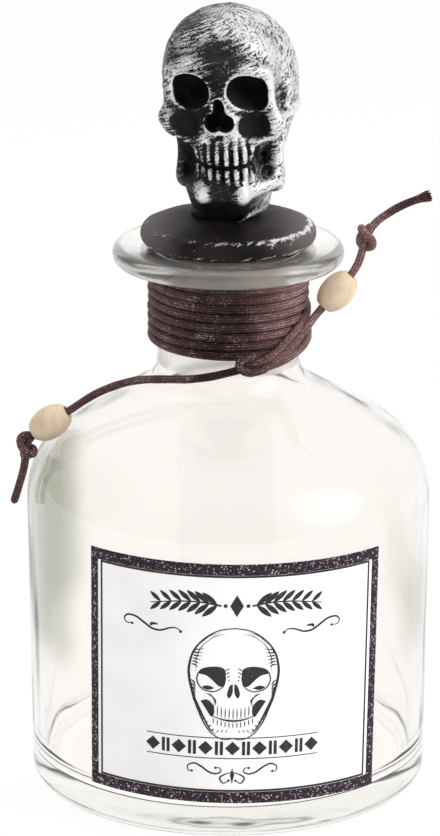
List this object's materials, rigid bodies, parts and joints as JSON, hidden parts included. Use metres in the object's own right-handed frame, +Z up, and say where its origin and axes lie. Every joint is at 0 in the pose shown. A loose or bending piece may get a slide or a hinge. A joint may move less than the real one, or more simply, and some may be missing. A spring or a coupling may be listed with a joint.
{
  "type": "poison bottle",
  "caption": "Clear round-shouldered apothecary bottle with a cord-bound neck, beaded cord tails, a bordered paper label and a lift-out cork stopper topped by a cast skull.",
  "frame": {"origin": "centre of the foot, on the surface the bottle stands on", "axes": "+Z up along the bottle's axis, -Y towards the middle of the label, +X to the right as the label is read"},
  "size_m": [0.1077, 0.104, 0.2033],
  "materials": {
    "clear_glass": "clear pressed glass with a faint warm grey tint",
    "label_paper": "matt off-white paper",
    "label_glitter": "dark glittered print",
    "cork": "natural cork",
    "cast_resin": "black satin with silver rubbed over the raised parts",
    "waxed_cord": "waxed burgundy-brown cotton",
    "bead_wood": "pale varnished wood"
  },
  "bodies": {
    "bottle": {"glass_bottle": "clear_glass", "label_paper": "label_paper", "label_frame": "label_glitter", "neck_winding": "waxed_cord", "neck_knot": "waxed_cord", "neck_strand": "waxed_cord", "tail_left": "waxed_cord", "tail_right": "waxed_cord", "end_knot_left": "waxed_cord", "end_knot_right": "waxed_cord"},
    "stopper": {"cork_plug": "cork", "stopper_disc": "cast_resin", "skull_finial": "cast_resin"},
    "left_bead": {"bead_left": "bead_wood"},
    "right_bead": {"bead_right": "bead_wood"}
  },
  "joints": [
    {"name": "stopper_lift", "type": "slide", "parent": "bottle", "child": "stopper", "axis": [0, 0, 1], "range_m": [0, 0.04]},
    {"name": "left_bead_spin", "type": "hinge", "parent": "bottle", "child": "left_bead", "pos_m": [-0.04533, -0.00786, 0.097], "axis": [-0.8352, 0.0607, -0.5466], "continuous": true},
    {"name": "right_bead_spin", "type": "hinge", "parent": "bottle", "child": "right_bead", "pos_m": [0.0275, -0.00715, 0.13155], "axis": [0.6727, 0.0892, 0.7345], "continuous": true}
  ]
}
